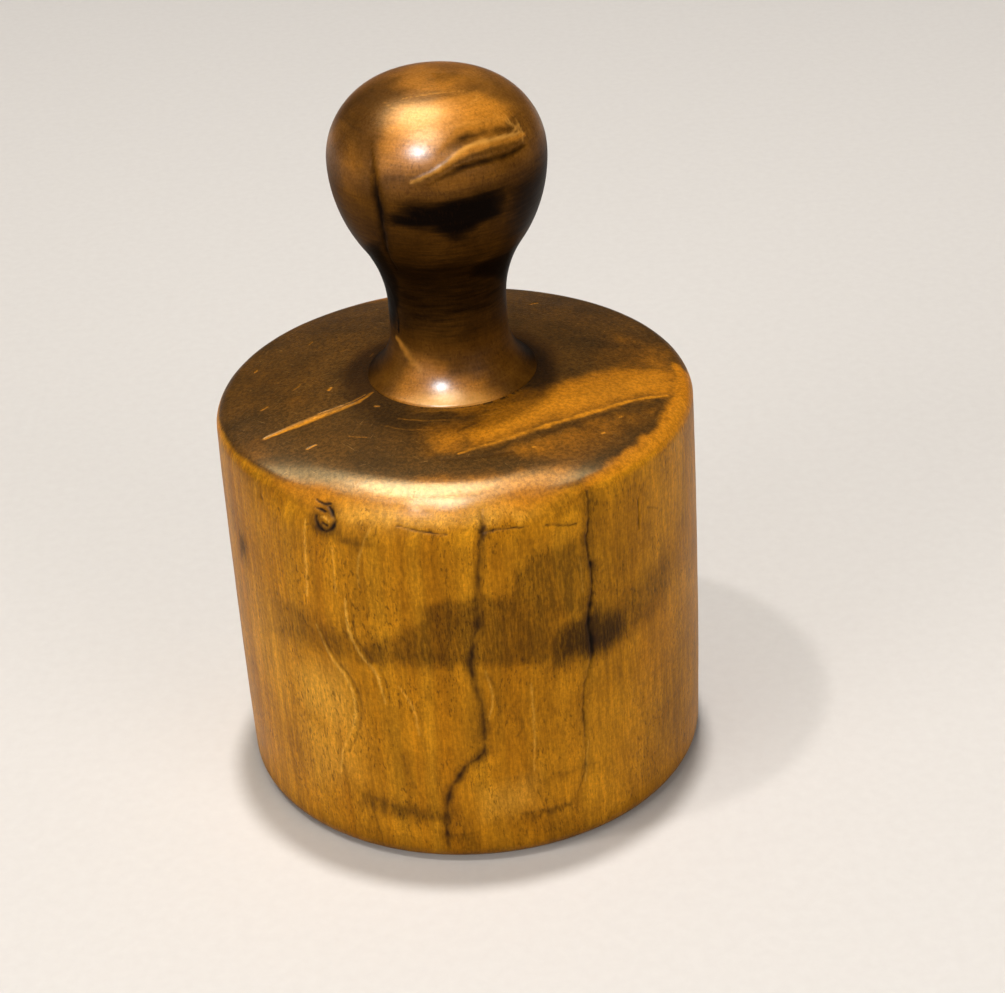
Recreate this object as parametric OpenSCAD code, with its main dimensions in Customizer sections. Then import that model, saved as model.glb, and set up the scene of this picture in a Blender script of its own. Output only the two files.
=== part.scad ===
// Turned wooden pie mold: a barrelled block that pastry is raised around, and a knob handle tenoned into its top.
// The origin is the centre of the base, and +Z points up the turning axis. Sizes are in millimetres.

/* [Block] */
// Diameter of the block where its barrelled side is widest
block_d = 111; // [80:0.5:160]
// Height from the base to the flat seat under the handle
block_h = 100; // [85:0.5:140]
// Height at which the side is widest
belly_z = 48; // [30:0.5:65]
// Profile radius of the barrelled side
barrel_r = 2500; // [800:50:6000]
// Profile radius of the domed top
dome_r = 245; // [140:5:600]
// Rounding between the side and the dome
rim_round = 4; // [1:0.25:9]
// Rounding between the side and the base
base_round = 4; // [1:0.25:9]
// Width of the flat seat that shows round the handle's foot
seat_margin = 0.2; // [0.1:0.1:3]

/* [Handle] */
// Diameter of the foot that sits on the block
foot_d = 39; // [33:0.5:48]
// Height of the upright edge round the foot
foot_edge = 0.3; // [0.2:0.1:2]
// Profile radius of the hollow between the foot and the waist
flare_r = 14; // [8:0.5:24]
// Diameter of the stem at its waist
stem_d = 26.8; // [24:0.2:34]
// Length of the straight waist
waist_len = 5.5; // [1:0.5:15]
// Profile radius of the hollow between the waist and the knob
neck_r = 29; // [15:0.5:45]
// Largest diameter of the knob
knob_d = 48.6; // [40:0.2:70]
// Profile radius of the knob below its widest point
belly_r = 33.5; // [20:0.5:60]
// Profile radius of the knob above its widest point
side_r = 18; // [10:0.5:19.5]
// Profile radius of the flattened crown
crown_r = 41; // [36:1:90]

/* [Joint] */
// Diameter of the round tenon under the handle
tenon_d = 20; // [14:0.5:22]
// Length of the tenon below the foot
tenon_len = 34; // [30:0.5:50]
// Radial gap between the tenon and its socket
socket_fit = 0.1; // [0.05:0.01:0.3]
// Gap between the end of the tenon and the floor of its socket
end_gap = 0.8; // [0.3:0.1:2]
// Length of the saw kerf in the tenon
kerf_len = 26; // [22:0.5:29]
// Width of the kerf at its closed end
kerf_w = 1.6; // [1:0.1:2.5]
// How far the wedge forces the two halves of the tenon apart
wedge_spread = 2.4; // [0.6:0.1:4]
// Length of the hidden wedge
wedge_len = 22; // [10:0.5:22]
// How far each edge of the wedge stays inside the tenon
wedge_inset = 2; // [0.5:0.25:5]
// Gap between the wedge and each side of the kerf
wedge_fit = 0.05; // [0.02:0.01:0.2]

/* [Finish] */
// Colour of the block's worn golden wood
block_color = "#9a6a28";
// Colour of the handle's darker, hand-polished wood
handle_color = "#5b371b";
// Colour of the unfinished wedge
wedge_color = "#b99563";

/* [Hidden] */
$fn = 96;
// Furthest that a drawn arc may stray from the true curve
arc_tol = 0.01;

// Points of an arc about centre c, from angle a0 up to but not including angle a1, where the next stretch starts
function arc(c, r, a0, a1) =
    let (n = max(2, ceil(abs(a1 - a0) / (2 * acos(1 - arc_tol / r)))), turn = (a1 - a0) / n)
    [for (i = [0:n - 1]) c + r * [cos(a0 + turn * i), sin(a0 + turn * i)]];

// Angle of the line from point a to point b
function bearing(a, b) = atan2(b[1] - a[1], b[0] - a[0]);

// Point at distance ra from a and rb from b, on the left of the line from a to b
function crossing(a, ra, b, rb) =
    let (d = norm(b - a), u = (b - a) / d, along = (ra * ra - rb * rb + d * d) / (2 * d))
    a + along * u + sqrt(ra * ra - along * along) * [-u[1], u[0]];

// Block profile
seat_r = foot_d / 2 + seat_margin;
wall_c = [block_d / 2 - barrel_r, belly_z];
dome_c = [0, block_h - sqrt(dome_r * dome_r - seat_r * seat_r)];
base_c = [wall_c[0] + sqrt(pow(barrel_r - base_round, 2) - pow(belly_z - base_round, 2)), base_round];
rim_c = crossing(wall_c, barrel_r - rim_round, dome_c, dome_r - rim_round);

// Joint between the handle and the block
tenon_r = tenon_d / 2;
tenon_end_z = block_h - tenon_len;
tenon_end_r = tenon_r + wedge_spread / 2;
kerf_root_z = tenon_end_z + kerf_len;
socket_floor_z = tenon_end_z - end_gap;
kerf_slope = wedge_spread / 2 / kerf_len;

// Half of the kerf's width at height z
function kerf_half(z) = kerf_w / 2 + (kerf_root_z - z) * kerf_slope;

// Radius of the tenon at height z, spread by the wedge below the root of the kerf
function tenon_radius(z) = tenon_r + max(0, kerf_root_z - z) * kerf_slope;

// Handle profile: each hollow and round is tangent to the next
foot_r = foot_d / 2;
stem_r = stem_d / 2;
knob_r = knob_d / 2;
foot_top_z = block_h + foot_edge;
flare_c = [stem_r + flare_r, foot_top_z + sqrt(flare_r * flare_r - pow(stem_r + flare_r - foot_r, 2))];
neck_c = [stem_r + neck_r, flare_c[1] + waist_len];
belly_x = knob_r - belly_r;
knob_z = neck_c[1] + sqrt(pow(neck_r + belly_r, 2) - pow(neck_c[0] - belly_x, 2));
belly_c = [belly_x, knob_z];
side_c = [knob_r - side_r, knob_z];
crown_c = [0, knob_z - sqrt(pow(crown_r - side_r, 2) - pow(side_c[0], 2))];

module block() {
    color(block_color)
        rotate_extrude()
            polygon(concat(
                [[0, socket_floor_z], [0, 0]],
                arc(base_c, base_round, -90, bearing(wall_c, base_c)),
                arc(wall_c, barrel_r, bearing(wall_c, base_c), bearing(wall_c, rim_c)),
                arc(rim_c, rim_round, bearing(wall_c, rim_c), bearing(dome_c, rim_c)),
                arc(dome_c, dome_r, bearing(dome_c, rim_c), acos(seat_r / dome_r)),
                [[seat_r, block_h]],
                [for (z = [block_h, kerf_root_z, socket_floor_z]) [tenon_radius(z) + socket_fit, z]]
            ));
}

module handle() {
    color(handle_color)
        difference() {
            rotate_extrude()
                polygon(concat(
                    [[0, tenon_end_z], [tenon_end_r, tenon_end_z], [tenon_r, kerf_root_z]],
                    [[tenon_r, block_h], [foot_r, block_h]],
                    arc(flare_c, flare_r, bearing(flare_c, [foot_r, foot_top_z]) + 360, 180),
                    arc(neck_c, neck_r, 180, bearing(neck_c, belly_c)),
                    arc(belly_c, belly_r, bearing(belly_c, neck_c), 0),
                    arc(side_c, side_r, 0, bearing(crown_c, side_c)),
                    arc(crown_c, crown_r, bearing(crown_c, side_c), 90),
                    [[0, crown_c[1] + crown_r]]
                ));
            across_tenon(2 * tenon_end_r + 2)
                kerf_outline(tenon_end_z - 1, kerf_root_z, 0);
        }
}

module tenon_wedge() {
    color(wedge_color)
        across_tenon(tenon_d - 2 * wedge_inset)
            kerf_outline(socket_floor_z, socket_floor_z + wedge_len, wedge_fit);
}

// Tapered slot of the kerf from height z0 to height z1, drawn in by a gap on each side
module kerf_outline(z0, z1, gap) {
    w0 = kerf_half(z0) - gap;
    w1 = kerf_half(z1) - gap;
    polygon([[-w0, z0], [w0, z0], [w1, z1], [-w1, z1]]);
}

// Stands an outline of width and height upright and draws it out to a length along X, centred on the axis
module across_tenon(length) {
    rotate([90, 0, 90])
        linear_extrude(length, center = true)
            children();
}

block();
handle();
tenon_wedge();
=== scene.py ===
import math

import bmesh
import bpy
import numpy as np
from mathutils import Matrix, Vector, noise


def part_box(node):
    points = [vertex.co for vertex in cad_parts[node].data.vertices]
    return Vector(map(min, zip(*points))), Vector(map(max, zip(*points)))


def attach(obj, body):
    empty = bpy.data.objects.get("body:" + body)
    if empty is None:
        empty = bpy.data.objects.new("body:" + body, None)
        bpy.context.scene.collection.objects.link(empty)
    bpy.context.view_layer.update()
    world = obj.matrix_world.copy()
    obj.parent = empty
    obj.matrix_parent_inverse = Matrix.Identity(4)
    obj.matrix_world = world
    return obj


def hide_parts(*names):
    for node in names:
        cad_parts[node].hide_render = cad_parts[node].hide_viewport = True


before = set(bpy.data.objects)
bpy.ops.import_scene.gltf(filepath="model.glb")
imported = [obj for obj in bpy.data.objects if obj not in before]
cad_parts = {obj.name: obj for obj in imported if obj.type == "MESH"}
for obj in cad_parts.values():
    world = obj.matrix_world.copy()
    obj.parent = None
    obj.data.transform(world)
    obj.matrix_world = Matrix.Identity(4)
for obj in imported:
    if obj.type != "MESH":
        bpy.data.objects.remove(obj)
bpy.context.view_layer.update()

mm = 0.001    # shapes and marks are written in millimetres, meshes are made in metres
scene = bpy.context.scene
scene.view_settings.view_transform = "Standard"


# Camera and lamps

cameraSettings = {
    "place": (0.0, -0.5026, 0.3580),
    "pitch": 30.25,      # degrees below level
    "yaw": 1.10,         # degrees to the right of +Y
    "roll": -3.62,
    "lens": 87.83,
    "sensor": 36.0,
}


def makeCamera():
    data = bpy.data.cameras.new("photoCamera")
    data.lens = cameraSettings["lens"]
    data.sensor_width = cameraSettings["sensor"]
    camera = bpy.data.objects.new("photoCamera", data)
    scene.collection.objects.link(camera)
    pitch, yaw, roll = (math.radians(cameraSettings[key]) for key in ("pitch", "yaw", "roll"))
    forward = Vector((math.sin(yaw) * math.cos(pitch), math.cos(yaw) * math.cos(pitch), -math.sin(pitch)))
    level = Vector((math.cos(yaw), -math.sin(yaw), 0))
    upright = level.cross(forward)
    right = math.cos(roll) * level + math.sin(roll) * upright
    up = math.cos(roll) * upright - math.sin(roll) * level
    turn = Matrix((right, up, -forward)).transposed()
    camera.matrix_world = Matrix.LocRotScale(Vector(cameraSettings["place"]), turn, None)
    scene.camera = camera


# degrees from the front, + to the right; degrees above level; metres away; size in metres; watts; tint
shadingLamps = {
    "overhead": (3, 77, 2.0, 0.12, 3, (1, 0.96, 0.9)),
    "left": (-70, 70, 2.0, 0.12, 8, (1, 0.96, 0.9)),
    "ceiling": (166, 85, 2.0, 0.14, 29, (1, 0.97, 0.92)),
    "fillLeft": (-50, 14, 1.2, 0.8, 7.2, (1, 0.97, 0.92)),
    "fillRight": (40, 14, 1.2, 0.8, 6, (1, 0.97, 0.92)),
}
glossLamps = {    # these only show as highlights in the wax
    "softbox": (-110, 80, 0.9, 1.0, 17, (1, 0.78, 0.38)),
    "inner": (-120, 79, 0.89, 0.5, 14, (1, 0.85, 0.5)),
    "lower": (-18, 62, 0.9, 0.4, 8.5, (1, 0.88, 0.6)),
    "front": (-23, 43, 1.0, 0.15, 14, (0.82, 0.92, 1)),
}
worldGrey = 0.07


def makeLamps():
    aim = Vector((0, 0, 0.1))
    for name, (aside, above, far, size, watts, color) in (shadingLamps | glossLamps).items():
        data = bpy.data.lights.new(name, "AREA")
        data.shape = "DISK"
        data.size = size
        data.energy = watts
        data.color = color
        turn, rise = math.radians(aside), math.radians(above)
        towards = Vector((math.sin(turn) * math.cos(rise), -math.cos(turn) * math.cos(rise), math.sin(rise)))
        light = bpy.data.objects.new(name, data)
        light.location = aim + far * towards
        light.rotation_mode = "QUATERNION"
        light.rotation_quaternion = (-towards).to_track_quat("-Z", "Y")
        light.visible_glossy = name in glossLamps
        light.visible_diffuse = name in shadingLamps
        scene.collection.objects.link(light)
    world = bpy.data.worlds.new("dimRoom")
    world.use_nodes = True
    world.node_tree.nodes["Background"].inputs["Color"].default_value = (worldGrey, worldGrey, worldGrey, 1)
    scene.world = world


makeCamera()
makeLamps()
print("camera and lamps in place")


# Node helpers

tree = None    # the node tree being built; newGroup and newMaterial set it


def srgb(code):
    parts = [int(code[i:i + 2], 16) / 255 for i in (1, 3, 5)]
    return tuple(p / 12.92 if p < 0.04045 else ((p + 0.055) / 1.055) ** 2.4 for p in parts) + (1.0,)


def setInputs(node, values):
    # a socket is linked, a text is a colour code, anything else is set as it is
    for key, value in values.items():
        if isinstance(value, bpy.types.NodeSocket):
            tree.links.new(value, node.inputs[key])
        else:
            node.inputs[key].default_value = srgb(value) if isinstance(value, str) else value


def addNode(kind, inputs=None, **settings):
    node = tree.nodes.new(kind)
    for key, value in settings.items():
        setattr(node, key, value)
    setInputs(node, inputs or {})
    return node


def calc(operation, a, b=0.0):
    return addNode("ShaderNodeMath", {0: a, 1: b}, operation=operation).outputs[0]


def times(a, b):
    return calc("MULTIPLY", a, b)


def plus(a, b):
    return calc("ADD", a, b)


def ramp(value, low, high, toLow=0.0, toHigh=1.0):
    sockets = {0: value, 1: low, 2: high, 3: toLow, 4: toHigh}
    return addNode("ShaderNodeMapRange", sockets, interpolation_type="SMOOTHSTEP").outputs[0]


def blendColor(factor, a, b):
    return addNode("ShaderNodeMix", {0: factor, 6: a, 7: b}, data_type="RGBA").outputs[2]


def tint(color, other, mask, amount=1.0):
    # lays another colour over the first where the mask is
    return blendColor(times(mask, amount), color, other)


def shade(color, value, low, high, toLow, toHigh):
    # darkens or lightens a colour as the value runs from low to high; 1 leaves it as it is
    sockets = {"Value": ramp(value, low, high, toLow, toHigh), "Color": color}
    return addNode("ShaderNodeHueSaturation", sockets).outputs[0]


def vectorCalc(operation, a, b):
    return addNode("ShaderNodeVectorMath", {0: a, 1: b}, operation=operation).outputs[0]


def vectorScale(vector, factor):
    return addNode("ShaderNodeVectorMath", {0: vector, "Scale": factor}, operation="SCALE").outputs[0]


def stretched(place, x, y, z):
    return vectorCalc("MULTIPLY", place, (1 / x, 1 / y, 1 / z))


def noiseValue(place, detail=3.0, roughness=0.55):
    sockets = {"Vector": place, "Scale": 1.0, "Detail": detail, "Roughness": roughness}
    return addNode("ShaderNodeTexNoise", sockets).outputs["Fac"]


def lineNoise(along, detail, roughness):
    sockets = {"W": along, "Scale": 1.0, "Detail": detail, "Roughness": roughness}
    return addNode("ShaderNodeTexNoise", sockets, noise_dimensions="1D").outputs["Fac"]


def attributes(*names):
    return [addNode("ShaderNodeAttribute", attribute_name=name).outputs["Fac"] for name in names]


def bump(height, strength, distance):
    sockets = {"Height": height, "Strength": strength, "Distance": distance}
    return addNode("ShaderNodeBump", sockets).outputs["Normal"]


def newGroup(name, inputs, outputs):
    global tree
    tree = bpy.data.node_groups.new(name, "ShaderNodeTree")
    for label, kind, value in inputs:
        socket = tree.interface.new_socket(label, in_out="INPUT", socket_type=kind)
        if value is not None:
            socket.default_value = value
    for label in outputs:
        tree.interface.new_socket(label, in_out="OUTPUT", socket_type="NodeSocketFloat")
    return tree.nodes.new("NodeGroupInput").outputs, tree.nodes.new("NodeGroupOutput")


def useGroup(group, **values):
    node = addNode("ShaderNodeGroup", node_tree=group)
    for key, value in values.items():
        label = "".join(" " + c if c.isupper() else c for c in key).title()
        setInputs(node, {label: value})
    return node.outputs


def newMaterial(name):
    global tree
    material = bpy.data.materials.new(name)
    material.use_nodes = True
    tree = material.node_tree
    place = addNode("ShaderNodeTexCoord").outputs["Object"]
    return material, tree.nodes["Principled BSDF"], vectorScale(place, 1 / mm)


# Shared effects, all in millimetres

def makeTurnedGrain():
    source, sink = newGroup("turnedGrain", [
        ("Vector", "NodeSocketVector", None),
        ("Pith", "NodeSocketVector", (0, 0, 0)),
        ("Ring Pitch", "NodeSocketFloat", 4.0),
        ("Waver", "NodeSocketFloat", 6.0),
    ], ["Rings", "Fibres", "Flecks"])
    sockets = {"Vector": stretched(source["Vector"], 38, 38, 95), "Scale": 1.0, "Detail": 2.0}
    drift = addNode("ShaderNodeTexNoise", sockets).outputs["Color"]
    drift = vectorCalc("SUBTRACT", drift, (0.5, 0.5, 0.5))
    bent = vectorCalc("ADD", source["Vector"], vectorScale(drift, source["Waver"]))
    level = vectorCalc("MULTIPLY", vectorCalc("SUBTRACT", bent, source["Pith"]), (1, 1, 0))
    reach = addNode("ShaderNodeVectorMath", {0: level}, operation="LENGTH").outputs["Value"]
    rings = lineNoise(calc("DIVIDE", reach, source["Ring Pitch"]), 3.0, 0.6)
    coarse = noiseValue(stretched(bent, 0.8, 0.8, 8.0), detail=3.0, roughness=0.6)
    fine = noiseValue(stretched(bent, 0.4, 0.4, 2.0), detail=2.0, roughness=0.6)
    fibres = plus(times(coarse, 0.5), times(fine, 0.5))
    pores = noiseValue(stretched(bent, 0.5, 0.5, 1.5), detail=1.0)
    patches = noiseValue(stretched(bent, 9, 9, 14), detail=2.0)
    flecks = times(ramp(pores, 0.57, 0.68), ramp(patches, 0.38, 0.62))
    rings, fibres = ramp(rings, 0.3, 0.7), ramp(fibres, 0.33, 0.67)
    setInputs(sink, {"Rings": rings, "Fibres": fibres, "Flecks": flecks})
    return tree


def makeHandGrime():
    source, sink = newGroup("handGrime", [
        ("Vector", "NodeSocketVector", None),
        ("Cloud Size", "NodeSocketFloat", 14.0),
        ("Speck Size", "NodeSocketFloat", 1.2),
    ], ["Cloud", "Specks"])
    broad = vectorScale(source["Vector"], calc("DIVIDE", 1.0, source["Cloud Size"]))
    fine = vectorScale(source["Vector"], calc("DIVIDE", 1.0, source["Speck Size"]))
    cloud = ramp(noiseValue(broad, detail=6.0, roughness=0.65), 0.32, 0.68)
    specks = ramp(noiseValue(fine, detail=3.0, roughness=0.6), 0.58, 0.72)
    setInputs(sink, {"Cloud": cloud, "Specks": specks})
    return tree


def makeLatheMarks():
    source, sink = newGroup("latheMarks", [
        ("Vector", "NodeSocketVector", None),
        ("Along", "NodeSocketFloat", 0.0),
        ("Spacing", "NodeSocketFloat", 0.8),
    ], ["Lines", "Scratches"])
    sway = times(noiseValue(stretched(source["Vector"], 9, 9, 9), detail=2.0), 1.4)
    travel = plus(source["Along"], sway)
    lines = lineNoise(calc("DIVIDE", travel, source["Spacing"]), 4.0, 0.65)
    scratches = 0.0
    for degrees, side in ((25, 0.3), (80, 0.25), (140, 0.35)):
        sockets = {"Vector": source["Vector"], "Angle": math.radians(degrees)}
        turned = addNode("ShaderNodeVectorRotate", sockets, rotation_type="Z_AXIS").outputs[0]
        thin = noiseValue(stretched(turned, side, 5, 5), detail=2.0)
        scratches = calc("MAXIMUM", scratches, ramp(thin, 0.66, 0.8))
    setInputs(sink, {"Lines": ramp(lines, 0.3, 0.7), "Scratches": scratches})
    return tree


turnedGrain = makeTurnedGrain()
handGrime = makeHandGrime()
latheMarks = makeLatheMarks()
print("grain, grime and lathe groups made")


# Materials

def raggedMask(mask, mottle, amount):
    # breaks the edge of a painted mask up with noise and leaves its empty part empty
    return ramp(plus(mask, times(mottle, ramp(mask, 0, 0.4, 0, amount))), 0, 1)


blockFinish = {
    "ringDark": "#b4730c",     # golden side
    "ringLight": "#c88716",
    "cloud": "#8f5804",
    # pale also paints the light band under the front of the rim
    "pale": "#f0b040",
    "fleck": "#3c2203",
    "topDark": "#37240b",      # browned top
    "topLight": "#503410",
    "scratch": "#94703c",
    "speck": "#241506",
    "worn": "#bc7410",         # wear, marks and painted light on both
    # the halo colour also paints shade along the base and the knob's shadow beside the foot
    "halo": "#301a04",
    "bare": "#c8821e",
    "crack": "#140a03",
    "coatRoughness": 0.22,
    "specular": 0.07,
}


def makeBlockWood():
    f = blockFinish
    material, shader, place = newMaterial("blockWood")
    grain = useGroup(turnedGrain, vector=place, pith=(-70.0, 62.0, 0.0), ringPitch=5.0, waver=11.0)
    grime = useGroup(handGrime, vector=place, cloudSize=17.0, speckSize=1.1)
    along, patina, polish, wear, stain = attributes("along", "patina", "polish", "wear", "stain")
    crack, halo, bare, pale = attributes("crack", "halo", "bare", "pale")
    lathe = useGroup(latheMarks, vector=place, along=along, spacing=0.9)
    mottle = calc("SUBTRACT", grime["Cloud"], 0.5)
    streaks = calc("SUBTRACT", grain["Fibres"], 0.5)

    nap = noiseValue(stretched(place, 0.9, 0.9, 0.9), detail=3.0, roughness=0.75)
    bands = noiseValue(stretched(place, 3.0, 3.0, 30.0), detail=3.0, roughness=0.6)
    gold = blendColor(grain["Rings"], f["ringDark"], f["ringLight"])
    gold = blendColor(ramp(grime["Cloud"], 0, 1, 0, 0.45), gold, f["cloud"])
    gold = tint(gold, f["pale"], pale, 0.75)
    gold = tint(gold, f["fleck"], grain["Flecks"], 0.5)
    gold = shade(gold, bands, 0.3, 0.7, 0.84, 1.14)
    gold = shade(gold, grain["Fibres"], 0, 1, 0.8, 1.16)
    gold = shade(gold, nap, 0.35, 0.65, 0.88, 1.12)
    soaked = times(stain, ramp(grain["Fibres"], 0, 1, 1.12, 0.9))
    gold = shade(gold, soaked, 0, 1, 1, 0.12)

    brown = blendColor(grime["Cloud"], f["topDark"], f["topLight"])
    brown = tint(brown, f["scratch"], lathe["Scratches"], 0.42)
    brown = tint(brown, f["speck"], grime["Specks"], 0.6)
    brown = shade(brown, nap, 0.35, 0.65, 0.6, 1.4)
    brown = shade(brown, lathe["Lines"], 0, 1, 0.94, 1.06)

    broken = plus(times(mottle, 0.25), times(streaks, 0.25))
    covered = ramp(plus(patina, broken), 0.2, 0.8)
    color = blendColor(covered, gold, brown)
    # worn wood, and painted light on the lit right side of the dome and in front of the handle's foot
    worn = shade(f["worn"], nap, 0.35, 0.65, 0.72, 1.28)
    color = blendColor(times(raggedMask(wear, mottle, 0.35), 0.85), color, worn)
    color = tint(color, f["halo"], halo, 0.8)
    # bare wood, and painted light in front of the handle's foot
    color = blendColor(bare, color, shade(f["bare"], nap, 0.35, 0.65, 0.76, 1.2))
    color = tint(color, f["crack"], crack)

    matt = ramp(plus(times(grain["Fibres"], 0.5), stain), 0, 1.6, 0.4, 0.52)
    relief = plus(times(grain["Fibres"], 0.5), times(lathe["Lines"], 0.3))
    relief = calc("SUBTRACT", relief, times(grain["Flecks"], 0.6))
    waxed = times(polish, ramp(plus(crack, bare), 0, 0.6, 1, 0.1))
    waxed = times(waxed, ramp(grime["Specks"], 0, 1, 1, 0.5))
    waxed = times(waxed, ramp(nap, 0.35, 0.65, 0.82, 1.08))
    setInputs(shader, {
        "Base Color": color,
        "Roughness": plus(matt, times(crack, 0.35)),
        "Normal": bump(relief, 0.3, 0.15 * mm),
        "Coat Weight": waxed,
        "Coat Roughness": f["coatRoughness"],
        "Specular IOR Level": f["specular"],
    })
    return material


handleFinish = {
    "dark": "#5f3a0d",
    "light": "#7d5018",
    "ring": "#4a2c0a",
    "worn": "#c07a22",
    # soot, and painted shade under the knob and on the flanks of the flare
    "soot": "#0a0401",
    "fleck": "#241204",
    "halo": "#140902",
    "bare": "#d99a44",
    "crack": "#0c0502",
    "coatRoughness": 0.29,
    "specular": 0.02,
}


def makeHandleWood():
    f = handleFinish
    material, shader, place = newMaterial("handleWood")
    grain = useGroup(turnedGrain, vector=place, pith=(18.0, 40.0, 0.0), ringPitch=4.0, waver=8.0)
    grime = useGroup(handGrime, vector=place, cloudSize=11.0, speckSize=0.9)
    along, soot, wear, polish = attributes("along", "soot", "wear", "polish")
    crack, halo, bare = attributes("crack", "halo", "bare")
    lathe = useGroup(latheMarks, vector=place, along=along, spacing=0.7)
    mottle = calc("SUBTRACT", grime["Cloud"], 0.5)

    wipes = noiseValue(stretched(place, 7.0, 7.0, 0.8), detail=4.0, roughness=0.65)
    nap = noiseValue(stretched(place, 0.6, 0.6, 0.6), detail=3.0, roughness=0.7)
    color = blendColor(grime["Cloud"], f["dark"], f["light"])
    color = tint(color, f["ring"], grain["Rings"], 0.3)
    # worn wood, and painted highlight on the front of the knob and the flare
    color = tint(color, f["worn"], raggedMask(wear, mottle, 0.3), 0.9)
    # soot together with painted shade and painted dark reflection under the knob, broken up by the wipes
    drift = times(ramp(soot, 0, 0.4, 0, 0.6), ramp(soot, 0.7, 1, 1, 0.15))
    sootAndShadeMix = plus(soot, times(calc("SUBTRACT", wipes, 0.5), drift))
    color = tint(color, f["soot"], ramp(sootAndShadeMix, 0, 1))
    color = tint(color, f["fleck"], grain["Flecks"], 0.3)
    color = shade(color, lathe["Lines"], 0, 1, 0.94, 1.06)
    color = shade(color, wipes, 0.3, 0.7, 0.88, 1.12)
    color = shade(color, nap, 0.35, 0.65, 0.88, 1.12)
    color = tint(color, f["halo"], halo, 0.85)
    # bare wood, and a painted highlight along the front of the flare's foot
    color = tint(color, f["bare"], bare)
    color = tint(color, f["crack"], crack)

    relief = plus(times(nap, 0.3), times(lathe["Lines"], 0.3))
    dull = plus(plus(crack, halo), times(soot, 0.7))
    waxed = times(polish, ramp(dull, 0, 0.7, 0.9, 0.02))
    waxed = times(waxed, ramp(nap, 0.35, 0.65, 0.7, 1.1))
    setInputs(shader, {
        "Base Color": color,
        "Roughness": ramp(plus(grime["Cloud"], crack), 0, 2, 0.4, 0.6),
        "Normal": bump(relief, 0.3, 0.12 * mm),
        "Coat Weight": waxed,
        "Coat Roughness": f["coatRoughness"],
        "Specular IOR Level": f["specular"],
    })
    return material


wedgeFinish = {
    "ringDark": "#b99563",
    "ringLight": "#cfae7c",
    "fibre": "#9a7748",
    "speck": "#6d4f29",
}


def makeWedgeWood():
    f = wedgeFinish
    material, shader, place = newMaterial("wedgeWood")
    grain = useGroup(turnedGrain, vector=place, pith=(3.0, 30.0, 0.0), ringPitch=1.8, waver=2.0)
    grime = useGroup(handGrime, vector=place, cloudSize=5.0, speckSize=0.6)
    color = blendColor(grain["Rings"], f["ringDark"], f["ringLight"])
    color = tint(color, f["fibre"], grain["Fibres"], 0.5)
    color = tint(color, f["speck"], grime["Specks"], 0.5)
    setInputs(shader, {
        "Base Color": color,
        "Roughness": ramp(grime["Cloud"], 0, 1, 0.62, 0.8),
        "Normal": bump(grain["Fibres"], 0.4, 0.2 * mm),
    })
    return material


floorFinish = {
    "clothDark": "#d4d0ce",
    "clothLight": "#dcd9d7",
    "bounce": "#a09d9b",       # what the floor throws back at the wood
    "roughness": 0.85,
    "specular": 0.2,
    "half": 3.0,               # metres from the middle to an edge
}


def makePaleFloor():
    f = floorFinish
    material, shader, place = newMaterial("paleFloor")
    nap = noiseValue(stretched(place, 3, 3, 3), detail=3.0)
    cloth = blendColor(nap, f["clothDark"], f["clothLight"])
    path = addNode("ShaderNodeLightPath").outputs
    seen = calc("MAXIMUM", path["Is Camera Ray"], path["Is Glossy Ray"])
    seen = calc("MAXIMUM", seen, path["Is Transmission Ray"])
    setInputs(shader, {
        "Base Color": blendColor(seen, f["bounce"], cloth),
        "Roughness": f["roughness"],
        "Specular IOR Level": f["specular"],
    })
    mesh = bpy.data.meshes.new("floor")
    half = f["half"]
    mesh.from_pydata([(-half, -half, 0), (half, -half, 0), (half, half, 0), (-half, half, 0)], [],
                     [(0, 1, 2, 3)])
    mesh.materials.append(material)
    floor = bpy.data.objects.new("floor", mesh)
    scene.collection.objects.link(floor)


blockWood = makeBlockWood()
handleWood = makeHandleWood()
wedgeWood = makeWedgeWood()
makePaleFloor()
print("woods and floor made")


# Turning helpers

def arc(centre, radius, start, end, step):
    # the end point is left out, where the next stretch starts
    count = max(2, math.ceil(abs(end - start) * radius / step))
    turn = start + (end - start) * np.arange(count) / count
    return np.column_stack((centre[0] + radius * np.cos(turn), centre[1] + radius * np.sin(turn)))


def straight(a, b, step):
    count = max(1, math.ceil(math.dist(a, b) / step))
    return np.array(a) + np.outer(np.arange(count) / count, np.subtract(b, a))


def bearing(a, b):
    return math.atan2(b[1] - a[1], b[0] - a[0])


def crossing(a, fromA, b, fromB):
    # the point at these two distances, on the left of the line from a to b
    apart = math.dist(a, b)
    along = (fromA ** 2 - fromB ** 2 + apart ** 2) / (2 * apart)
    ahead = np.subtract(b, a) / apart
    return np.array(a) + along * ahead + math.sqrt(fromA ** 2 - along ** 2) * np.array((-ahead[1], ahead[0]))


def columns(radius, frontStep, backStep):
    # angles round the axis from the front, closer together on the front side
    frontHalf = math.radians(100)
    front = np.arange(-frontHalf, frontHalf, frontStep / radius)
    back = np.arange(frontHalf, 2 * math.pi - frontHalf, backStep / radius)
    return np.concatenate((front, back))


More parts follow.
